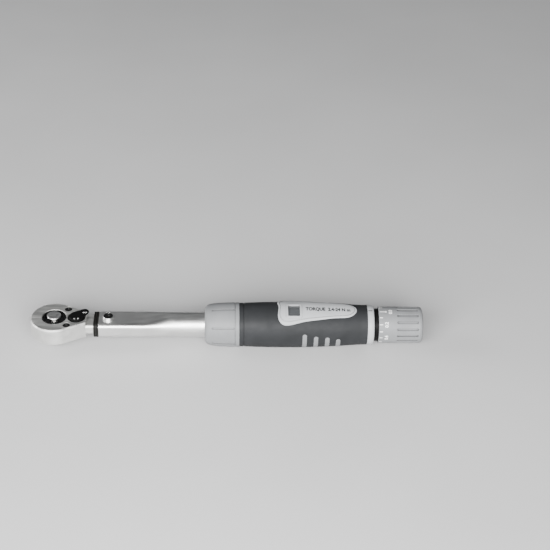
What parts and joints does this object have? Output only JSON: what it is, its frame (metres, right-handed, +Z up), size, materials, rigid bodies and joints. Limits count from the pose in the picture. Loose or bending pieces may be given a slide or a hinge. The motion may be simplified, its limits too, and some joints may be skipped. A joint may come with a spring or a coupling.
{
  "type": "torque wrench",
  "caption": "Quarter-inch drive click torque wrench with reversible ratchet head, rubber grip and turning adjuster knob.",
  "frame": {"origin": "centre of the drive square's end face, on the plane the wrench rests on", "axes": "+X from the ratchet head to the knob, +Z up towards the reversing lever, drive square pointing down"},
  "size_m": [0.2732, 0.033, 0.033],
  "materials": {
    "satin_chrome": "satin chrome plate",
    "matt_chrome": "matt chrome plate, blasted grain",
    "polished_steel": "polished",
    "dark_steel": "black oxide",
    "spring_steel": "drawn wire",
    "machined_steel": "turned",
    "black_plastic": "fine grain",
    "grey_plastic": "fine grain",
    "panel_plastic": "satin",
    "white_plastic": "printed scale",
    "grip_rubber": "matt moulded",
    "seal_rubber": "matt",
    "window_glass": "smoked, clear"
  },
  "bodies": {
    "handle": {"tube": "satin_chrome", "neck_seal": "seal_rubber", "pivot_pin": "polished_steel", "pin_plug": "dark_steel", "main_spring": "spring_steel", "thrust_washer": "dark_steel", "rear_bushing": "machined_steel", "grip_core": "grey_plastic", "rubber_grip": "grip_rubber", "inlay_panel": "panel_plastic", "window_frame": "panel_plastic", "window_lens": "window_glass", "front_collar": "grey_plastic", "rear_ring": "panel_plastic", "lock_sleeve": "black_plastic", "lock_ring": "seal_rubber"},
    "head": {"head_body": "matt_chrome", "cover_plate": "matt_chrome", "cover_screws": "dark_steel"},
    "drive": {"drive_gear": "dark_steel", "button_spring": "spring_steel"},
    "button": {"quick_release_button": "polished_steel"},
    "ball": {"detent_ball": "polished_steel"},
    "lever": {"reversing_lever": "black_plastic", "lever_rivets": "polished_steel", "lever_spring": "spring_steel", "lever_ball": "polished_steel"},
    "pawl": {"ratchet_pawl": "dark_steel"},
    "tilt": {"tilt_block": "dark_steel"},
    "plunger": {"plunger": "machined_steel"},
    "nut": {"adjusting_nut": "machined_steel", "guide_pin": "dark_steel", "scale_slider": "white_plastic"},
    "screw": {"adjusting_screw": "machined_steel", "knob_screw": "dark_steel"},
    "knob": {"knob": "grey_plastic", "knob_insert": "machined_steel", "knob_cap": "grey_plastic"}
  },
  "joints": [
    {"name": "head_click", "type": "hinge", "parent": "handle", "child": "head", "pos_m": [0.0376, 0, 0.016], "axis": [0, 0, 1], "range_deg": [0, 3], "stiffness_Nm_per_rad": 3, "springref_deg": -11.46},
    {"name": "block_tilt", "type": "hinge", "parent": "handle", "child": "tilt", "pos_m": [0.0594, 0, 0.016], "axis": [0, 0, 1], "range_deg": [-9, 0]},
    {"name": "plunger_slide", "type": "slide", "parent": "handle", "child": "plunger", "axis": [1, 0, 0], "range_m": [0, 0.00092]},
    {"name": "drive_spin", "type": "hinge", "parent": "head", "child": "drive", "pos_m": [0, 0, 0.016], "axis": [0, 0, 1], "continuous": true},
    {"name": "button_press", "type": "slide", "parent": "drive", "child": "button", "axis": [0, 0, -1], "range_m": [0, 0.0022], "stiffness_N_per_m": 600, "springref_m": -0.002, "deforming": ["button_spring"]},
    {"name": "ball_retract", "type": "slide", "parent": "drive", "child": "ball", "axis": [0, 1, 0], "range_m": [0, 0.00042]},
    {"name": "lever_throw", "type": "hinge", "parent": "head", "child": "lever", "pos_m": [0.0155, 0, 0.016], "axis": [0, 0, 1], "range_deg": [-88, 0]},
    {"name": "pawl_rock", "type": "hinge", "parent": "head", "child": "pawl", "pos_m": [0.0155, 0, 0.016], "axis": [0, 0, 1], "range_deg": [-8, 0]},
    {"name": "knob_turn", "type": "hinge", "parent": "handle", "child": "screw", "pos_m": [0.24, 0, 0.016], "axis": [-1, 0, 0], "range_deg": [-180, 4770]},
    {"name": "nut_slide", "type": "slide", "parent": "handle", "child": "nut", "axis": [-1, 0, 0], "range_m": [-0.0005, 0.01325], "deforming": ["main_spring"]},
    {"name": "knob_lock", "type": "slide", "parent": "screw", "child": "knob", "axis": [-1, 0, 0], "range_m": [0, 0.0024]}
  ],
  "couplings": [
    {"joint": "block_tilt", "follows": "head_click", "ratio": -3},
    {"joint": "plunger_slide", "follows": "head_click", "m_per_rad": 0.017189},
    {"joint": "ball_retract", "follows": "button_press", "ratio": 0.18182},
    {"joint": "pawl_rock", "follows": "lever_throw", "ratio": 0.090909},
    {"joint": "nut_slide", "follows": "knob_turn", "m_per_rad": 0.00015915}
  ]
}
